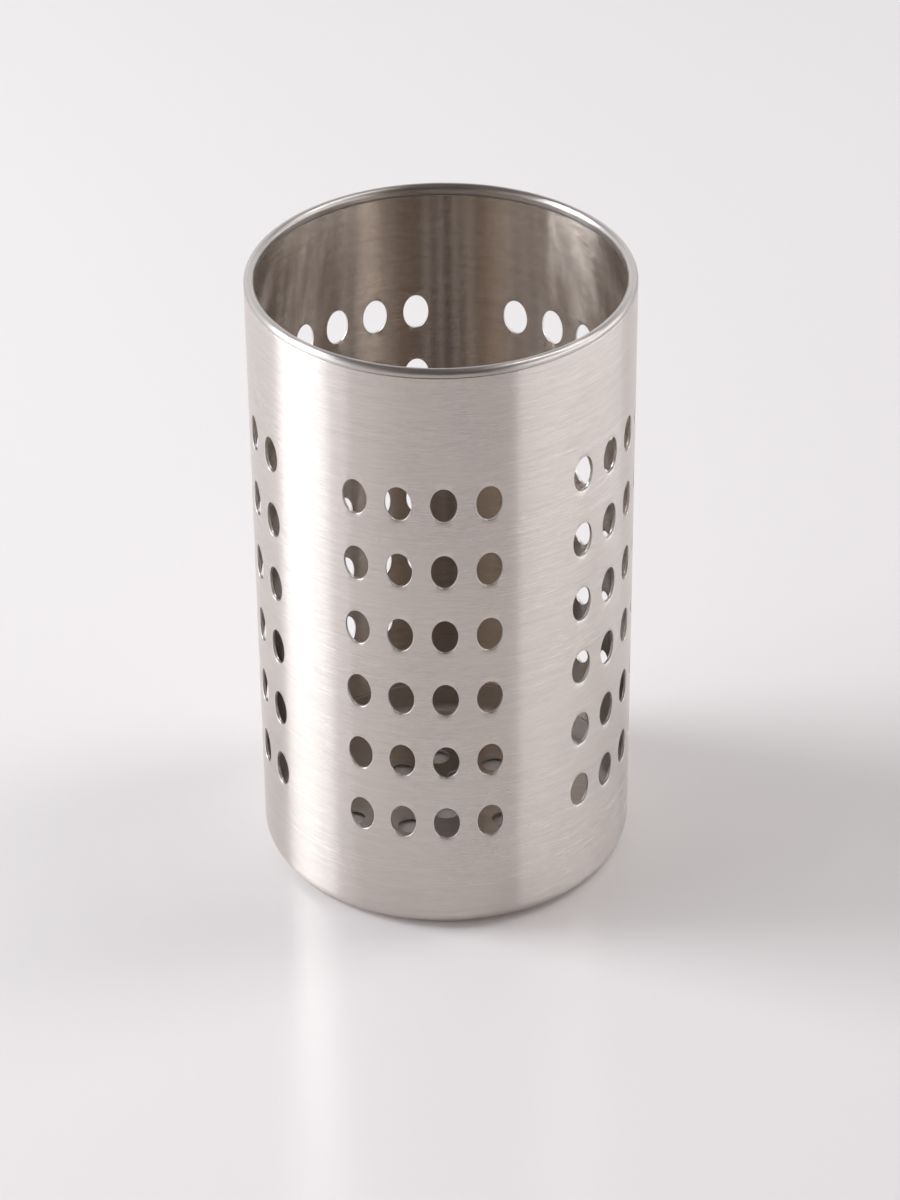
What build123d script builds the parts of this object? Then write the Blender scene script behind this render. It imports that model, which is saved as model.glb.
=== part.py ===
from build123d import *
import math
import os

os.makedirs("parts", exist_ok=True)

# Overall size in millimetres, standing on z = 0 with the axis on Z
outer_diameter = 98.0
height = 167.9

# Wall: rolled sheet, its foot bent in under the floor
wall_thickness = 0.8
foot_bend_radius = 4.5  # outside of the bend
foot_lip_width = 9.0  # from the outside of the wall to the free edge of the lip

# Side holes: upright ovals in groups along the rolled sheet, with plain strips between the groups
hole_width = 6.7
hole_height = 9.7
hole_groups = 5
hole_columns = 4
hole_rows = 6
column_pitch = 11.3  # along the outside of the wall
joint_allowance = 2.4  # the strip where the sheet's ends meet is this much wider than the others
first_row_drop = 37.9  # from the top of the rim to the centres of the top row
last_row_height = 33.9  # from the table to the centres of the bottom row
front_group_turn = -6.4  # degrees, the front group is centred this far left of the front

# Rim: a ring of flattened rod, rebated to sit on and inside the wall's top edge
rim_width = 2.6
rim_height = 3.3

# Floor: a pressed pan that rests on the foot's lip
pan_thickness = 0.8
corner_relief = 0.3  # the pan's corner is this much rounder than the foot's bend that it lies in
pan_flange_height = 10.0  # from the underside of the pan to the flange's edge
drain_hole_diameter = 6.7
drain_pitch = 11.4
drain_field_radius = 27.5  # hole centres lie inside this circle
drain_grid_turn = 32.0  # degrees

# Radial clearance where one piece is pushed inside another before welding
nest_clearance = 0.05

outer_radius = outer_diameter / 2
inner_radius = outer_radius - wall_thickness
nest_radius = inner_radius - nest_clearance
rim_round = rim_width / 2
wall_top = height - rim_height + rim_round


# Rolled wall with its turned-in foot, punched in groups of upright ovals. The sheet's ends meet in the strip
# between the last group and the front one.
bend_axis = (outer_radius - foot_bend_radius, foot_bend_radius)
lip_edge = outer_radius - foot_lip_width
row_pitch = (height - first_row_drop - last_row_height) / (hole_rows - 1)
rows_middle = last_row_height + row_pitch * (hole_rows - 1) / 2
column_angle = math.degrees(column_pitch / outer_radius)
group_angle = (360 - math.degrees(joint_allowance / outer_radius)) / hole_groups
punch_start = outer_radius + hole_width / 2
punch_travel = wall_thickness + hole_width

with BuildPart() as perforated_wall:
    with BuildSketch(Plane.XZ):
        with BuildLine():
            Line((lip_edge, 0), (bend_axis[0], 0))
            CenterArc(bend_axis, foot_bend_radius, -90, 90)
            Line((outer_radius, bend_axis[1]), (outer_radius, wall_top))
            Line((outer_radius, wall_top), (inner_radius, wall_top))
            Line((inner_radius, wall_top), (inner_radius, bend_axis[1]))
            CenterArc(bend_axis, foot_bend_radius - wall_thickness, -90, 90)
            Line((bend_axis[0], wall_thickness), (lip_edge, wall_thickness))
            Line((lip_edge, wall_thickness), (lip_edge, 0))
        make_face()
    revolve(axis=Axis.Z)
    for group in range(hole_groups):
        for column in range(hole_columns):
            turn = front_group_turn + group_angle * group
            turn += column_angle * (column - (hole_columns - 1) / 2)
            outward = Vector(0, -1, 0).rotate(Axis.Z, turn)
            sideways = Vector(1, 0, 0).rotate(Axis.Z, turn)
            start = outward * punch_start + Vector(0, 0, rows_middle)
            with BuildSketch(Plane(origin=start, x_dir=sideways, z_dir=outward)):
                with GridLocations(0, row_pitch, 1, hole_rows):
                    Ellipse(hole_width / 2, hole_height / 2)
    extrude(amount=-punch_travel, mode=Mode.SUBTRACT)

perforated_wall.part.label = "perforated_wall"
export_step(perforated_wall.part, "parts/perforated_wall.step")


# Rim ring: the rod's lower outer quarter is rebated so that it drops into the wall
rim_middle = (outer_radius - rim_round, height - rim_height / 2)

with BuildPart() as rim_ring:
    with BuildSketch(Plane.XZ):
        with Locations(rim_middle):
            SlotOverall(rim_height, rim_width, rotation=90)
        with Locations((nest_radius, wall_top)):
            Rectangle(rim_width, rim_width, align=(Align.MIN, Align.MAX), mode=Mode.SUBTRACT)
    revolve(axis=Axis.Z)

rim_ring.part.label = "rim_ring"
export_step(rim_ring.part, "parts/rim_ring.step")


# Base pan: floor, rounded corner and upturned flange, with a square grid of drain holes
pan_bottom = wall_thickness
corner_outside = foot_bend_radius - wall_thickness + corner_relief
corner_inside = corner_outside - pan_thickness
corner_axis = (nest_radius - corner_outside, pan_bottom + corner_outside)
flange_top = pan_bottom + pan_flange_height
flange_inside = nest_radius - pan_thickness
floor_top = pan_bottom + pan_thickness
drain_count = 2 * math.ceil(drain_field_radius / drain_pitch) + 1

with BuildPart() as base_pan:
    with BuildSketch(Plane.XZ):
        with BuildLine():
            Line((0, pan_bottom), (corner_axis[0], pan_bottom))
            CenterArc(corner_axis, corner_outside, -90, 90)
            Line((nest_radius, corner_axis[1]), (nest_radius, flange_top))
            Line((nest_radius, flange_top), (flange_inside, flange_top))
            Line((flange_inside, flange_top), (flange_inside, corner_axis[1]))
            CenterArc(corner_axis, corner_inside, -90, 90)
            Line((corner_axis[0], floor_top), (0, floor_top))
            Line((0, floor_top), (0, pan_bottom))
        make_face()
    revolve(axis=Axis.Z)
    with BuildSketch(Plane.XY.offset(pan_bottom).rotated((0, 0, drain_grid_turn))):
        grid = GridLocations(drain_pitch, drain_pitch, drain_count, drain_count)
        drains = [spot for spot in grid.local_locations if spot.position.length <= drain_field_radius]
        with Locations(*drains):
            Circle(drain_hole_diameter / 2)
    extrude(amount=pan_thickness, mode=Mode.SUBTRACT)

base_pan.part.label = "base_pan"
export_step(base_pan.part, "parts/base_pan.step")
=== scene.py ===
import math

import bmesh
import bpy
from mathutils import Matrix, Vector


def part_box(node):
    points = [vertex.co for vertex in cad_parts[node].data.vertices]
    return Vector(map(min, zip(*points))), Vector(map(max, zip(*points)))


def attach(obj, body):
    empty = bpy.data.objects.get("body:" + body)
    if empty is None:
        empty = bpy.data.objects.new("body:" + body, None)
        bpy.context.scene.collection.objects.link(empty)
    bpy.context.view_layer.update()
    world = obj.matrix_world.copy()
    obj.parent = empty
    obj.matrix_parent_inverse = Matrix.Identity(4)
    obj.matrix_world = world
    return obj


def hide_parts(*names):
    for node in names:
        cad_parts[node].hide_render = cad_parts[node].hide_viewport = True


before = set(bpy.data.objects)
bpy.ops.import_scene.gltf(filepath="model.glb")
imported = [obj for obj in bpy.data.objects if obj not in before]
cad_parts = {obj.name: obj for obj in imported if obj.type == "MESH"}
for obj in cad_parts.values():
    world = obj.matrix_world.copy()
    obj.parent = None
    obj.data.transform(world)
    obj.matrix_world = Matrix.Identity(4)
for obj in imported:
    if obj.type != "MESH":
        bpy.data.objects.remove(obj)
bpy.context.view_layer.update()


def addObject(name, data):
    added = bpy.data.objects.new(name, data)
    bpy.context.scene.collection.objects.link(added)
    return added


# Camera, worked out from the outlines and the rows of holes in the photograph

camera = {
    "place": (0.0015, -0.8498, 0.6334),
    "pitch": math.radians(33.529),  # down from the horizontal
    "roll": math.radians(-0.547),
    "lens": 116.77,
    "sensor": 36.0,
    "nearest": 0.01,
    "furthest": 20.0,
}

lensData = bpy.data.cameras.new("camera")
lensData.lens = camera["lens"]
lensData.sensor_width = camera["sensor"]
lensData.clip_start = camera["nearest"]
lensData.clip_end = camera["furthest"]
cameraObject = addObject("camera", lensData)
upwards = Matrix.Rotation(math.pi / 2 - camera["pitch"], 4, "X")
rolled = Matrix.Rotation(camera["roll"], 4, "Z")
cameraObject.matrix_world = Matrix.Translation(camera["place"]) @ upwards @ rolled
bpy.context.scene.camera = cameraObject
print("camera ready")


# Node helpers: a value that is another node's socket is linked, and any other value is set

def setInputs(node, inputs):
    for name, value in dict(inputs).items():
        if isinstance(value, bpy.types.NodeSocket):
            node.id_data.links.new(value, node.inputs[name])
        else:
            node.inputs[name].default_value = value


def addNode(tree, kind, settings=(), inputs=()):
    node = tree.nodes.new(kind)
    for name, value in dict(settings).items():
        setattr(node, name, value)
    setInputs(node, inputs)
    return node


def addMath(tree, operation, first, second):
    node = addNode(tree, "ShaderNodeMath", {"operation": operation}, {0: first, 1: second})
    return node.outputs[0]


def addVectorMath(tree, operation, first, second=None):
    inputs = {0: first}
    if second is not None:
        inputs["Scale" if operation == "SCALE" else 1] = second
    node = addNode(tree, "ShaderNodeVectorMath", {"operation": operation}, inputs)
    return node.outputs["Value" if operation == "LENGTH" else "Vector"]


def addRange(tree, value, low, high, settings=()):
    node = addNode(tree, "ShaderNodeMapRange", settings,
                   {"Value": value, "From Min": low, "From Max": high})
    return node.outputs[0]


def addMix(tree, factor, first, second):
    node = addNode(tree, "ShaderNodeMix", {"data_type": "RGBA"},
                   {"Factor": factor, "A": first, "B": second})
    return node.outputs["Result"]


def addGroup(tree, group, inputs):
    return addNode(tree, "ShaderNodeGroup", {"node_tree": group}, inputs).outputs


def newGroup(name, inputs, outputs):
    tree = bpy.data.node_groups.new(name, "ShaderNodeTree")
    for label, kind, value in inputs:
        socket = tree.interface.new_socket(name=label, in_out="INPUT", socket_type=kind)
        socket.default_value = value
    for label, kind in outputs:
        tree.interface.new_socket(name=label, in_out="OUTPUT", socket_type=kind)
    given = tree.nodes.new("NodeGroupInput").outputs
    return tree, given, tree.nodes.new("NodeGroupOutput")


def newMaterial(name):
    material = bpy.data.materials.new(name)
    material.use_nodes = True
    return material, material.node_tree.nodes["Principled BSDF"]


# Marks of work and use that the steels share

steelMarks = {
    "fineGrain": {"Scale": 1.0, "Detail": 2.0, "Roughness": 0.6},
    "broadGrain": {"Scale": 0.17, "Detail": 2.0, "Roughness": 0.5},
    "rareGrain": {"Scale": 0.45, "Detail": 0.0, "Roughness": 0.5},
    "grooveGrain": {"Scale": 1.0, "Detail": 1.0, "Roughness": 0.7},
    "fineShare": 0.7,
    "broadShare": 0.3,
    "lineRange": (0.32, 0.68),
    "scratchRange": (0.70, 0.78),
    "smudgeRange": (0.42, 0.68),
    "smudgeDetail": 4.0,
    "smudgeSwirl": 0.6,
}


# Grain: noise whose places are counted in lengths and widths of one brushed line. A round grain
# follows the circle about the upright axis on any slope, a straight one is only stretched.

def makeGrain():
    tree, given, made = newGroup("grain", [
        ("Vector", "NodeSocketVector", (0, 0, 0)),
        ("Line Size", "NodeSocketVector", (0.004, 0.004, 0.0001)),  # metres
        ("Round", "NodeSocketFloat", 1.0),
        ("Scale", "NodeSocketFloat", 1.0),
        ("Detail", "NodeSocketFloat", 2.0),
        ("Roughness", "NodeSocketFloat", 0.5),
    ], [("Grain", "NodeSocketFloat")])

    stretched = addVectorMath(tree, "DIVIDE", given["Vector"], given["Line Size"])
    level = addVectorMath(tree, "MULTIPLY", given["Vector"], (1, 1, 0))
    lineWidth = addNode(tree, "ShaderNodeSeparateXYZ", inputs={0: given["Line Size"]}).outputs["Z"]
    outwards = addMath(tree, "DIVIDE", addVectorMath(tree, "LENGTH", level), lineWidth)
    noise = addNode(tree, "ShaderNodeTexNoise", {"noise_dimensions": "4D"}, {
        "Vector": stretched,
        "W": addMath(tree, "MULTIPLY", outwards, given["Round"]),
        "Scale": given["Scale"],
        "Detail": given["Detail"],
        "Roughness": given["Roughness"],
    })
    setInputs(made, {"Grain": noise.outputs["Fac"]})
    return tree


def addGrain(tree, given, kind):
    inputs = {name: given[name] for name in ("Vector", "Line Size", "Round")}
    return addGroup(tree, grain, inputs | steelMarks[kind])["Grain"]


# Brushing: the lines that the eye can see, and a few deeper scratches

def makeBrushing():
    tree, given, made = newGroup("brushing", [
        ("Vector", "NodeSocketVector", (0, 0, 0)),
        ("Line Size", "NodeSocketVector", (0.004, 0.004, 0.0002)),
        ("Round", "NodeSocketFloat", 1.0),
    ], [("Lines", "NodeSocketFloat"), ("Scratches", "NodeSocketFloat")])

    fine = addMath(tree, "MULTIPLY", addGrain(tree, given, "fineGrain"), steelMarks["fineShare"])
    broad = addMath(tree, "MULTIPLY", addGrain(tree, given, "broadGrain"), steelMarks["broadShare"])
    rare = addGrain(tree, given, "rareGrain")
    setInputs(made, {
        "Lines": addRange(tree, addMath(tree, "ADD", fine, broad), *steelMarks["lineRange"]),
        "Scratches": addRange(tree, rare, *steelMarks["scratchRange"]),
    })
    return tree


# Grooves: the finest brushing, too small to see one by one. Each groove tilts the surface across
# the grain and never along it, which spreads a reflection up and down and leaves its left and
# right edges sharp.

def makeGrooves():
    tree, given, made = newGroup("grooves", [
        ("Vector", "NodeSocketVector", (0, 0, 0)),
        ("Line Size", "NodeSocketVector", (0.003, 0.003, 0.00005)),
        ("Round", "NodeSocketFloat", 1.0),
        ("Slope", "NodeSocketFloat", 0.5),
    ], [("Normal", "NodeSocketVector")])

    uneven = addMath(tree, "SUBTRACT", addGrain(tree, given, "grooveGrain"), 0.5)
    tilt = addMath(tree, "MULTIPLY", uneven, given["Slope"])
    surface = addNode(tree, "ShaderNodeNewGeometry").outputs["Normal"]
    across = addVectorMath(tree, "CROSS_PRODUCT", surface, addTangent(tree))
    leaning = addVectorMath(tree, "SCALE", across, tilt)
    tilted = addVectorMath(tree, "ADD", surface, leaning)
    setInputs(made, {"Normal": addVectorMath(tree, "NORMALIZE", tilted)})
    return tree


def addTangent(tree):
    node = addNode(tree, "ShaderNodeTangent", {"direction_type": "RADIAL", "axis": "Z"})
    return node.outputs["Tangent"]


# Handling: faint smudges that dull the steel, and small dark specks

def makeHandling():
    tree, given, made = newGroup("handling", [
        ("Vector", "NodeSocketVector", (0, 0, 0)),
        ("Smudge Size", "NodeSocketFloat", 0.03),
        ("Speck Spacing", "NodeSocketFloat", 0.012),
        ("Speck Size", "NodeSocketFloat", 0.00025),
    ], [("Smudges", "NodeSocketFloat"), ("Specks", "NodeSocketFloat")])

    def inUnitsOf(size):
        return addVectorMath(tree, "SCALE", given["Vector"], addMath(tree, "DIVIDE", 1.0, size))

    smudges = addNode(tree, "ShaderNodeTexNoise", inputs={
        "Vector": inUnitsOf(given["Smudge Size"]),
        "Scale": 1.0,
        "Detail": steelMarks["smudgeDetail"],
        "Distortion": steelMarks["smudgeSwirl"],
    })
    cells = addNode(tree, "ShaderNodeTexVoronoi",
                    inputs={"Vector": inUnitsOf(given["Speck Spacing"]), "Scale": 1.0})
    reach = addMath(tree, "DIVIDE", given["Speck Size"], given["Speck Spacing"])
    setInputs(made, {
        "Smudges": addRange(tree, smudges.outputs["Fac"], *steelMarks["smudgeRange"]),
        "Specks": addMath(tree, "LESS_THAN", cells.outputs["Distance"], reach),
    })
    return tree


grain = makeGrain()
brushing = makeBrushing()
grooves = makeGrooves()
handling = makeHandling()


# Steel finishes

def makeSteel(name, look):
    material, shader = newMaterial(name)
    tree = material.node_tree
    place = addNode(tree, "ShaderNodeTexCoord").outputs["Object"]
    brushed = addGroup(tree, brushing, {
        "Vector": place, "Line Size": look["lineSize"], "Round": look["round"],
    })
    grooved = addGroup(tree, grooves, {
        "Vector": place, "Line Size": look["grooveSize"], "Round": look["round"],
        "Slope": look["grooveSlope"],
    })
    marks = addGroup(tree, handling, {
        "Vector": place, "Smudge Size": look["smudgeSize"],
        "Speck Spacing": look["speckSpacing"], "Speck Size": look["speckSize"],
    })

    tint = addMix(tree, brushed["Lines"], (*look["darkLine"], 1), (*look["lightLine"], 1))
    uneven = addMath(tree, "SUBTRACT", brushed["Lines"], 0.5)
    lined = addMath(tree, "MULTIPLY", uneven, look["lineRoughness"])
    smudged = addMath(tree, "MULTIPLY", marks["Smudges"], look["smudgeRoughness"])
    marked = addMath(tree, "ADD", lined, smudged)
    bump = addNode(tree, "ShaderNodeBump", inputs={
        "Strength": look["bump"],
        "Distance": look["lineDepth"],
        "Height": addMath(tree, "ADD", brushed["Lines"], brushed["Scratches"]),
        "Normal": grooved["Normal"],
    })
    setInputs(shader, {
        "Metallic": 1.0,
        "Anisotropic": look["anisotropic"],
        "Anisotropic Rotation": look["anisotropicTurn"],
        "Base Color": addMix(tree, marks["Specks"], tint, (*look["speckColour"], 1)),
        "Roughness": addMath(tree, "ADD", marked, look["roughness"]),
        "Normal": bump.outputs["Normal"],
    })
    if look["anisotropic"]:
        setInputs(shader, {"Tangent": addTangent(tree)})
    return material


# Sizes are in metres: line and groove sizes are a length, a length and a width
steelLooks = {
    "wallSteel": {
        "darkLine": (0.590, 0.540, 0.504),
        "lightLine": (0.752, 0.695, 0.654),
        "speckColour": (0.30, 0.26, 0.23),
        "lineSize": (0.0035, 0.0035, 0.00015), "grooveSize": (0.003, 0.003, 0.00001),
        "round": 1.0, "grooveSlope": 1.2, "anisotropic": 1.0, "anisotropicTurn": 0.25,
        "smudgeSize": 0.035, "speckSpacing": 0.030, "speckSize": 0.0002,
        "roughness": 0.25, "lineRoughness": 0.04, "smudgeRoughness": 0.02,
        "bump": 0.15, "lineDepth": 0.00001,
    },
    # Inside skin of the wall: the same steel as outside, its colours painted darker and browner as
    # painted shade inside the cup
    "shadedLiningSteel": {
        "darkLine": (0.510, 0.442, 0.385),
        "lightLine": (0.680, 0.603, 0.540),
        "speckColour": (0.16, 0.13, 0.11),
        "lineSize": (0.004, 0.004, 0.00018), "grooveSize": (0.003, 0.003, 0.00001),
        "round": 1.0, "grooveSlope": 2.6, "anisotropic": 1.0, "anisotropicTurn": 0.25,
        "smudgeSize": 0.030, "speckSpacing": 0.030, "speckSize": 0.0002,
        "roughness": 0.21, "lineRoughness": 0.04, "smudgeRoughness": 0.02,
        "bump": 0.15, "lineDepth": 0.00001,
    },
    "rimSteel": {
        "darkLine": (0.450, 0.418, 0.398),
        "lightLine": (0.590, 0.556, 0.534),
        "speckColour": (0.14, 0.12, 0.10),
        "lineSize": (0.009, 0.009, 0.0002), "grooveSize": (0.006, 0.006, 0.00005),
        "round": 1.0, "grooveSlope": 0.8, "anisotropic": 0.7, "anisotropicTurn": 0.25,
        "smudgeSize": 0.012, "speckSpacing": 0.003, "speckSize": 0.00014,
        "roughness": 0.30, "lineRoughness": 0.06, "smudgeRoughness": 0.08,
        "bump": 0.20, "lineDepth": 0.00001,
    },
    "panSteel": {
        "darkLine": (0.500, 0.460, 0.430),
        "lightLine": (0.640, 0.600, 0.570),
        "speckColour": (0.16, 0.13, 0.11),
        "lineSize": (0.006, 0.0003, 0.0003), "grooveSize": (0.004, 0.00006, 0.00006),
        "round": 0.0, "grooveSlope": 0.8, "anisotropic": 0.0, "anisotropicTurn": 0.0,
        "smudgeSize": 0.020, "speckSpacing": 0.020, "speckSize": 0.0002,
        "roughness": 0.36, "lineRoughness": 0.10, "smudgeRoughness": 0.05,
        "bump": 0.20, "lineDepth": 0.00002,
    },
    "punchedSteel": {
        "darkLine": (0.560, 0.530, 0.510),
        "lightLine": (0.700, 0.670, 0.650),
        "speckColour": (0.30, 0.28, 0.26),
        "lineSize": (0.0001, 0.0001, 0.0001), "grooveSize": (0.0001, 0.0001, 0.0001),
        "round": 0.0, "grooveSlope": 0.5, "anisotropic": 0.0, "anisotropicTurn": 0.0,
        "smudgeSize": 0.002, "speckSpacing": 0.020, "speckSize": 0.0001,
        "roughness": 0.30, "lineRoughness": 0.08, "smudgeRoughness": 0.10,
        "bump": 0.15, "lineDepth": 0.00001,
    },
}
steels = {name: makeSteel(name, look) for name, look in steelLooks.items()}
print("materials ready")


# Sizes that the pieces share, in metres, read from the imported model

wallLow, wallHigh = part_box("perforated_wall")
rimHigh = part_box("rim_ring")[1]
panLow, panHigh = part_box("base_pan")
outerRadius = (wallHigh.x - wallLow.x) / 2
nestRadius = (panHigh.x - panLow.x) / 2
wallTop = wallHigh.z
hair = 0.000004  # two points closer than this are taken as level

sheetCut = {
    "sharpAngle": math.radians(60),
    "softSteps": 2,
}


# Mesh helpers

def vertsOf(geometry):
    return [item for item in geometry if isinstance(item, bmesh.types.BMVert)]


def edgesOf(geometry):
    return [item for item in geometry if isinstance(item, bmesh.types.BMEdge)]


def copyTo(bm, geometry, move):
    copied = vertsOf(bmesh.ops.duplicate(bm, geom=geometry)["geom"])
    bmesh.ops.translate(bm, verts=copied, vec=move)


# A flat grid of squares, scaled to a width and height, with its middle at a place
def addPlain(bm, width, height, cuts, levels, place):
    verts = bmesh.ops.create_grid(bm, x_segments=cuts, y_segments=levels, size=0.5)["verts"]
    bmesh.ops.scale(bm, verts=verts, vec=(width, height, 1))
    bmesh.ops.translate(bm, verts=verts, vec=place)


# A flat rectangle with an oval hole in its middle, its border cut evenly to weld to the next one
def punchedCell(bm, width, height, holeWidth, holeHeight, sideCuts, rings):
    hole = bmesh.ops.create_circle(bm, segments=4 * sideCuts, radius=0.5)["verts"]
    bmesh.ops.scale(bm, verts=hole, vec=(holeWidth, holeHeight, 1))
    border = bmesh.ops.create_circle(bm, segments=4 * sideCuts, radius=0.5)["verts"]
    quarter = math.pi / 2
    for vertex in border:
        angle = math.atan2(vertex.co.y, vertex.co.x)
        side = round(angle / quarter)
        along = Vector((1, 2 * (angle / quarter - side), 0))
        onSide = Matrix.Rotation(side * quarter, 3, "Z") @ along
        vertex.co = (onSide.x * width / 2, onSide.y * height / 2, 0)
    loops = {edge for vertex in hole + border for edge in vertex.link_edges}
    spokes = edgesOf(bmesh.ops.bridge_loops(bm, edges=list(loops))["edges"])
    bmesh.ops.subdivide_edges(bm, edges=spokes, cuts=rings - 1, use_grid_fill=True)
    return bm.verts[:] + bm.edges[:] + bm.faces[:]


# Pulls a level loop of border edges to a new radius and height, leaving a ring of faces behind
def pullLoop(bm, edges, radius, height):
    pulled = bmesh.ops.extrude_edge_only(bm, edges=edges)["geom"]
    verts = vertsOf(pulled)
    ratio = radius / verts[0].co.xy.length
    bmesh.ops.scale(bm, verts=verts, vec=(ratio, ratio, 1))
    bmesh.ops.translate(bm, verts=verts, vec=(0, 0, height - verts[0].co.z))
    return edgesOf(pulled)


def levelBorder(bm, height):
    return [edge for edge in bm.edges if edge.is_boundary
            and all(abs(vertex.co.z - height) < hair for vertex in edge.verts)]


# Gives a sheet its thickness on the inside and softens its cut edges, when the faces look down or
# outwards. Materials: 0 for the given skin, 1 for the cut edges, 2 for the new skin.
def thicken(bm, sheet, softness):
    bmesh.ops.recalc_face_normals(bm, faces=bm.faces[:])
    lowest = min(bm.faces, key=lambda face: face.calc_center_median().z)
    if lowest.normal.z > 0:
        bmesh.ops.reverse_faces(bm, faces=bm.faces[:])
    made = bmesh.ops.solidify(bm, geom=bm.faces[:], thickness=sheet)["geom"]
    bmesh.ops.recalc_face_normals(bm, faces=bm.faces[:])
    for item in made:
        if isinstance(item, bmesh.types.BMFace):
            item.material_index = 2
    sharp = {edge for edge in bm.edges if edge.calc_face_angle(0) > sheetCut["sharpAngle"]}
    for face in bm.faces:
        if len(sharp.intersection(face.edges)) == 2:
            face.material_index = 1
    bmesh.ops.bevel(bm, geom=list(sharp), offset=softness, offset_type="OFFSET",
                    segments=sheetCut["softSteps"], profile=0.5, affect="EDGES", material=-1)


def makePiece(name, bm, nodeName, materials, normalAt):
    mesh = bpy.data.meshes.new(name)
    bm.to_mesh(mesh)
    bm.free()
    for material in materials:
        mesh.materials.append(material)
    for face in mesh.polygons:
        face.use_smooth = True
    mesh.normals_split_custom_set_from_vertices([normalAt(vertex.co) for vertex in mesh.vertices])
    piece = addObject(name, mesh)
    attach(piece, "root")
    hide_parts(nodeName)
    print(name, "has", sum(len(face.vertices) - 2 for face in mesh.polygons), "triangles")


# Perforated wall: a flat sheet of punched cells and plain strips, rolled into a tube and turned in
# at the foot

wall = {
    "sheet": 0.0008,
    "footBend": 0.0045,  # outside of the bend
    "footLip": 0.009,
    "holeWidth": 0.0067,
    "holeHeight": 0.0097,
    "groups": 5,
    "columns": 4,
    "rows": 6,
    "columnPitch": 0.0113,  # along the outside
    "jointAllowance": 0.0024,  # the strip where the sheet's ends meet is this much wider
    "firstRowDrop": 0.0379,  # from the top of the rim
    "lastRowHeight": 0.0339,
    "frontGroupTurn": math.radians(-6.4),
    "sideCuts": 10,
    "cellRings": 3,
    "stripCuts": 10,
    "jointCuts": 2,
    "plainSteps": 3,
    "bendSteps": 8,
    "lipSteps": 2,
    "softness": 0.00015,
}


def makeWall():
    bm = bmesh.new()
    punchedHeight = rimHigh.z - wall["firstRowDrop"] - wall["lastRowHeight"]
    rowPitch = punchedHeight / (wall["rows"] - 1)
    fieldBottom = wall["lastRowHeight"] - rowPitch / 2
    fieldTop = fieldBottom + rowPitch * wall["rows"]
    fieldWidth = wall["columnPitch"] * wall["columns"]
    sheetLength = 2 * math.pi * outerRadius
    groupPitch = (sheetLength - wall["jointAllowance"]) / wall["groups"]
    firstEdge = -fieldWidth / 2

    def addStrip(start, end, cuts):
        place = ((start + end) / 2, (fieldTop + fieldBottom) / 2, 0)
        levels = wall["rows"] * wall["sideCuts"]
        addPlain(bm, end - start, fieldTop - fieldBottom, cuts, levels, place)

    cell = punchedCell(bm, wall["columnPitch"], rowPitch, wall["holeWidth"], wall["holeHeight"],
                       wall["sideCuts"], wall["cellRings"])
    for column in range(wall["columns"]):
        for row in range(wall["rows"]):
            across = firstEdge + (column + 0.5) * wall["columnPitch"]
            copyTo(bm, cell, move=(across, wall["lastRowHeight"] + row * rowPitch, 0))
    bmesh.ops.delete(bm, geom=vertsOf(cell), context="VERTS")
    addStrip(firstEdge + fieldWidth, firstEdge + groupPitch, wall["stripCuts"])
    group = bm.verts[:] + bm.edges[:] + bm.faces[:]
    for number in range(1, wall["groups"]):
        copyTo(bm, group, move=(groupPitch * number, 0, 0))
    addStrip(firstEdge + groupPitch * wall["groups"], firstEdge + sheetLength, wall["jointCuts"])

    for vertex in bm.verts:  # roll the sheet up
        turn = vertex.co.x / outerRadius + wall["frontGroupTurn"]
        vertex.co = (outerRadius * math.sin(turn), -outerRadius * math.cos(turn), vertex.co.y)
    bmesh.ops.remove_doubles(bm, verts=bm.verts[:], dist=hair)

    loop = levelBorder(bm, fieldTop)
    for step in range(1, wall["plainSteps"] + 1):
        height = fieldTop + (wallTop - fieldTop) * step / wall["plainSteps"]
        loop = pullLoop(bm, loop, outerRadius, height)
    loop = levelBorder(bm, fieldBottom)
    for step in range(1, wall["plainSteps"] + 1):
        height = fieldBottom + (wall["footBend"] - fieldBottom) * step / wall["plainSteps"]
        loop = pullLoop(bm, loop, outerRadius, height)
    for step in range(1, wall["bendSteps"] + 1):
        angle = math.pi / 2 * step / wall["bendSteps"]
        radius = outerRadius - wall["footBend"] * (1 - math.cos(angle))
        loop = pullLoop(bm, loop, radius, wall["footBend"] * (1 - math.sin(angle)))
    for step in range(1, wall["lipSteps"] + 1):
        reach = (wall["footLip"] - wall["footBend"]) * step / wall["lipSteps"]
        loop = pullLoop(bm, loop, outerRadius - wall["footBend"] - reach, 0.0)
    thicken(bm, wall["sheet"], wall["softness"])
    return bm


# Exact directions on both skins of a sheet. Between them nothing, so the mesh's own are used.
def skinNormal(outward, depth, sheet):
    if abs(depth) < hair:
        return outward.normalized()
    if abs(depth - sheet) < hair:
        return -outward.normalized()
    return Vector((0, 0, 0))


def wallNormal(point):
    radius = point.xy.length
    outward = Vector((point.x, point.y, 0)) / radius
    bendRadius = outerRadius - wall["footBend"]
    if point.z >= wall["footBend"]:
        depth = outerRadius - radius
    elif radius > bendRadius:
        outward = outward * (radius - bendRadius) + Vector((0, 0, point.z - wall["footBend"]))
        depth = wall["footBend"] - outward.length
    else:
        outward = Vector((0, 0, -1))
        depth = point.z
    return skinNormal(outward, depth, wall["sheet"])


# The wall's inner skin takes the shaded lining steel, whose darker colour is painted shade
makePiece("wall", makeWall(), "perforated_wall",
          [steels["wallSteel"], steels["punchedSteel"], steels["shadedLiningSteel"]], wallNormal)


# Rim: a ring of flattened rod with a rebate that drops into the wall

rim = {
    "width": 0.0026,
    "roundSteps": 20,  # in a half round
    "flatSteps": 2,
    "turnSteps": 240,
    "sharpAngle": math.radians(45),
    "softness": 0.00025,
    "softSteps": 3,
}


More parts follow.
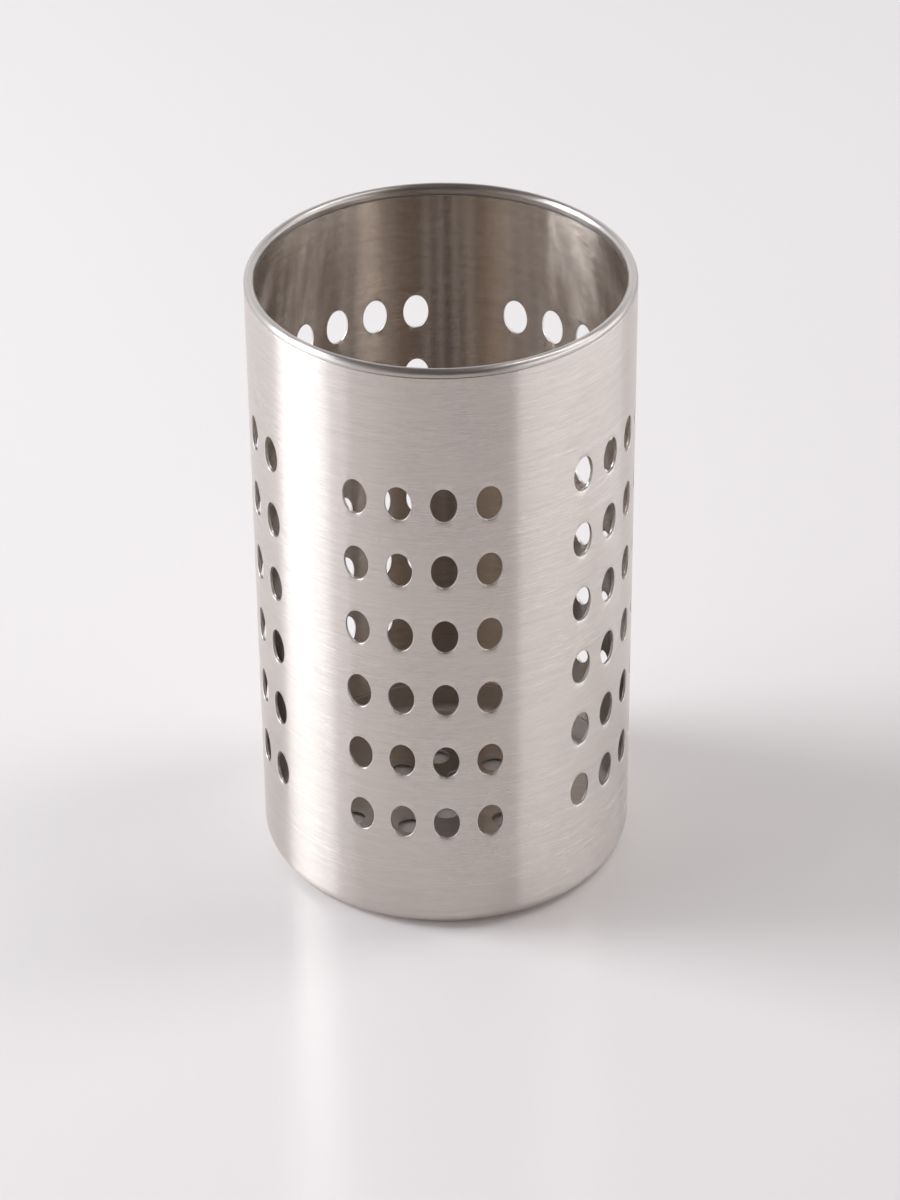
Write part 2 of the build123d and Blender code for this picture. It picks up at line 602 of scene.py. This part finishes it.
def makeRim():
    bm = bmesh.new()
    halfWidth = rim["width"] / 2
    topCentre = Vector((outerRadius - halfWidth, 0, rimHigh.z - halfWidth))
    lowCentre = Vector((topCentre.x, 0, wallTop))
    lowSweep = math.pi - math.acos((nestRadius - lowCentre.x) / halfWidth)

    def addStraight(start, end, steps=1):
        for step in range(1, steps + 1):
            place = start.co.lerp(end, 1 / (steps + 1 - step))
            start = bmesh.ops.extrude_vert_indiv(bm, verts=[start])["verts"][0]
            start.co = place
        return start

    def addRound(start, centre, sweep):
        steps = round(rim["roundSteps"] * sweep / math.pi)
        spun = bmesh.ops.spin(bm, geom=[start], cent=centre, axis=(0, -1, 0), angle=sweep,
                              steps=steps)
        return vertsOf(spun["geom_last"])[0]

    first = bmesh.ops.create_vert(bm, co=(outerRadius, 0, wallTop))["vert"][0]
    last = addStraight(first, Vector((outerRadius, 0, topCentre.z)), rim["flatSteps"])
    last = addRound(last, topCentre, math.pi)
    last = addStraight(last, lowCentre - Vector((halfWidth, 0, 0)), rim["flatSteps"])
    last = addRound(last, lowCentre, lowSweep)
    last = addStraight(last, Vector((nestRadius, 0, wallTop)))
    bmesh.ops.contextual_create(bm, geom=[last, first])
    bmesh.ops.spin(bm, geom=bm.verts[:] + bm.edges[:], cent=(0, 0, 0), axis=(0, 0, 1),
                   angle=2 * math.pi, steps=rim["turnSteps"], use_merge=True)
    bmesh.ops.remove_doubles(bm, verts=bm.verts[:], dist=hair)
    bmesh.ops.recalc_face_normals(bm, faces=bm.faces[:])
    sharp = [edge for edge in bm.edges if edge.calc_face_angle(0) > rim["sharpAngle"]]
    bmesh.ops.bevel(bm, geom=sharp, offset=rim["softness"], offset_type="OFFSET",
                    segments=rim["softSteps"], profile=0.5, affect="EDGES", material=-1)
    return bm


def rimNormal(point):
    halfWidth = rim["width"] / 2
    level = min(max(point.z, wallTop), rimHigh.z - halfWidth)
    outward = Vector((point.x, point.y, 0))
    inRod = outward * (1 - (outerRadius - halfWidth) / outward.length)
    fromRod = inRod + Vector((0, 0, point.z - level))
    return skinNormal(fromRod, halfWidth - fromRod.length, 1)


makePiece("rim", makeRim(), "rim_ring", [steels["rimSteel"]], rimNormal)


# Base pan: a pressed floor with a square field of drain holes and an upturned flange

pan = {
    "sheet": 0.0008,
    "cornerRadius": 0.0032,  # inside of the corner
    "drainHole": 0.0067,
    "drainPitch": 0.0114,
    "fieldRadius": 0.0275,
    "fieldSide": 5,
    "fieldTurn": math.radians(32.0),
    "sideCuts": 8,
    "cellRings": 2,
    "outsideRings": 3,
    "cornerSteps": 8,
    "softness": 0.0001,
}
panCorner = pan["cornerRadius"] + pan["sheet"]  # outside of the corner
panFlat = nestRadius - panCorner


def makePan():
    bm = bmesh.new()
    pitch = pan["drainPitch"]
    middle = (pan["fieldSide"] - 1) / 2
    cell = punchedCell(bm, pitch, pitch, pan["drainHole"], pan["drainHole"], pan["sideCuts"],
                       pan["cellRings"])
    plain = []
    for across in range(pan["fieldSide"]):
        for along in range(pan["fieldSide"]):
            place = Vector((across - middle, along - middle, 0)) * pitch
            if place.length <= pan["fieldRadius"]:
                copyTo(bm, cell, move=place)
            else:
                plain.append(place)
    bmesh.ops.delete(bm, geom=vertsOf(cell), context="VERTS")
    for place in plain:
        addPlain(bm, pitch, pitch, pan["sideCuts"], pan["sideCuts"], place)
    bmesh.ops.remove_doubles(bm, verts=bm.verts[:], dist=hair)

    fieldEdge = pitch * pan["fieldSide"] / 2 - hair
    loop = [edge for edge in bm.edges if edge.is_boundary
            and all(max(abs(vertex.co.x), abs(vertex.co.y)) > fieldEdge for vertex in edge.verts)]
    for step in range(pan["outsideRings"], 0, -1):  # from the square field out to the round corner
        pulled = bmesh.ops.extrude_edge_only(bm, edges=loop)["geom"]
        for vertex in vertsOf(pulled):
            vertex.co = vertex.co.lerp(vertex.co.normalized() * panFlat, 1 / step)
        loop = edgesOf(pulled)
    bmesh.ops.rotate(bm, verts=bm.verts[:], cent=(0, 0, 0),
                     matrix=Matrix.Rotation(pan["fieldTurn"], 3, "Z"))
    bmesh.ops.translate(bm, verts=bm.verts[:], vec=(0, 0, panLow.z))

    for step in range(1, pan["cornerSteps"] + 1):
        angle = math.pi / 2 * step / pan["cornerSteps"]
        loop = pullLoop(bm, loop, panFlat + panCorner * math.sin(angle),
                        panLow.z + panCorner * (1 - math.cos(angle)))
    pullLoop(bm, loop, nestRadius, panHigh.z)
    thicken(bm, pan["sheet"], pan["softness"])
    return bm


def panNormal(point):
    radius = point.xy.length
    outward = Vector((point.x, point.y, 0)) / max(radius, hair)
    cornerLevel = panLow.z + panCorner
    if radius <= panFlat:
        return skinNormal(Vector((0, 0, -1)), point.z - panLow.z, pan["sheet"])
    if point.z >= cornerLevel:
        return skinNormal(outward, nestRadius - radius, pan["sheet"])
    fromAxis = outward * (radius - panFlat) + Vector((0, 0, point.z - cornerLevel))
    return skinNormal(fromAxis, panCorner - fromAxis.length, pan["sheet"])


makePiece("pan", makePan(), "base_pan",
          [steels["panSteel"], steels["punchedSteel"], steels["panSteel"]], panNormal)


# Table: a large plain glossy white top

table = {
    "side": 8.0,
    "colour": (0.865, 0.835, 0.838),
    "roughness": 0.22,
}

tableWhite, tableShader = newMaterial("tableWhite")
setInputs(tableShader, {"Base Color": (*table["colour"], 1), "Roughness": table["roughness"]})
bm = bmesh.new()
bmesh.ops.create_grid(bm, x_segments=1, y_segments=1, size=table["side"] / 2)
tableMesh = bpy.data.meshes.new("table")
bm.to_mesh(tableMesh)
bm.free()
tableMesh.materials.append(tableWhite)
tableObject = addObject("table", tableMesh)


# Studio light: a dark room behind the camera and a pale one behind the object, softboxes at the
# left and right, and a high light over each shoulder. Azimuths are degrees from the front, towards
# the right, and elevations are degrees above the table.

studio = {
    "target": Vector((0, 0, 0.085)),
    "distance": 1.6,
    "ceilingStart": 0.45,  # sines of the elevations where the surroundings fade to the ceiling
    "ceilingFull": 0.75,
    "ceiling": (0.16, 0.15, 0.145),
    "surroundings": [
        (-180, (1.10, 1.11, 1.13)),
        (-125, (1.16, 1.18, 1.22)),
        (-60, (0.72, 0.69, 0.70)),
        (-42, (0.56, 0.50, 0.48)),
        (-22, (0.14, 0.105, 0.080)),
        (20, (0.07, 0.047, 0.034)),
        (36, (0.14, 0.105, 0.080)),
        (60, (0.80, 0.77, 0.77)),
        (130, (1.02, 1.03, 1.05)),
        (180, (1.10, 1.11, 1.13)),
    ],
}
softboxes = {
    "leftSoftbox": {
        "azimuths": (-102, -66.5), "elevations": (3, 24),
        "radiance": 5.4, "colour": (0.94, 0.99, 1.06),
    },
    "leftFrontFlap": {
        "azimuths": (-66.5, -52.5), "elevations": (-3, 8),
        "radiance": 1.6, "colour": (0.94, 0.99, 1.06),
    },
    "leftHighLight": {
        "azimuths": (-110, -85), "elevations": (24, 52),
        "radiance": 9.5, "colour": (0.97, 0.99, 1.01),
    },
    "rightSoftbox": {
        "azimuths": (41, 118), "elevations": (-3, 15),
        "radiance": 1.9, "colour": (0.96, 0.99, 1.03),
    },
    "rightHighLight": {
        "azimuths": (92, 120), "elevations": (40, 75),
        "radiance": 4.6, "colour": (1.01, 0.99, 0.98),
    },
}

for name, box in softboxes.items():
    spans = [[math.radians(edge) for edge in box[angle]] for angle in ("azimuths", "elevations")]
    azimuth, elevation = (sum(span) / 2 for span in spans)
    wide, tall = (span[1] - span[0] for span in spans)
    lamp = bpy.data.lights.new(name, "AREA")
    lamp.shape = "RECTANGLE"
    lamp.size = 2 * studio["distance"] * math.cos(elevation) * math.tan(wide / 2)
    lamp.size_y = 2 * studio["distance"] * math.tan(tall / 2)
    lamp.color = box["colour"]
    lamp.energy = box["radiance"] * math.pi * lamp.size * lamp.size_y
    lampObject = addObject(name, lamp)
    towards = Vector((math.sin(azimuth) * math.cos(elevation),
                      -math.cos(azimuth) * math.cos(elevation), math.sin(elevation)))
    aim = (-towards).to_track_quat("-Z", "Y").to_matrix().to_4x4()
    place = studio["target"] + towards * studio["distance"]
    lampObject.matrix_world = Matrix.Translation(place) @ aim
    lampObject.visible_camera = False

world = bpy.data.worlds.new("studio")
bpy.context.scene.world = world
world.use_nodes = True
sky = world.node_tree
generated = addNode(sky, "ShaderNodeTexCoord").outputs["Generated"]
direction = addNode(sky, "ShaderNodeSeparateXYZ", inputs={0: generated}).outputs
forwards = addMath(sky, "MULTIPLY", direction["Y"], -1.0)
around = addMath(sky, "ARCTAN2", direction["X"], forwards)
turn = addRange(sky, around, -math.pi, math.pi)
ring = addNode(sky, "ShaderNodeValToRGB", inputs={"Fac": turn})
fade = addRange(sky, direction["Z"], studio["ceilingStart"], studio["ceilingFull"],
                {"interpolation_type": "SMOOTHSTEP"})
room = addMix(sky, fade, ring.outputs["Color"], (*studio["ceiling"], 1))
setInputs(sky.nodes["Background"], {"Color": room})
stops = ring.color_ramp.elements
while len(stops) < len(studio["surroundings"]):
    stops.new(0.5)
for stop, (azimuth, colour) in zip(stops, studio["surroundings"]):
    stop.position = (azimuth + 180) / 360
    stop.color = (*colour, 1)
bpy.context.scene.view_settings.view_transform = "Standard"
print("studio ready")
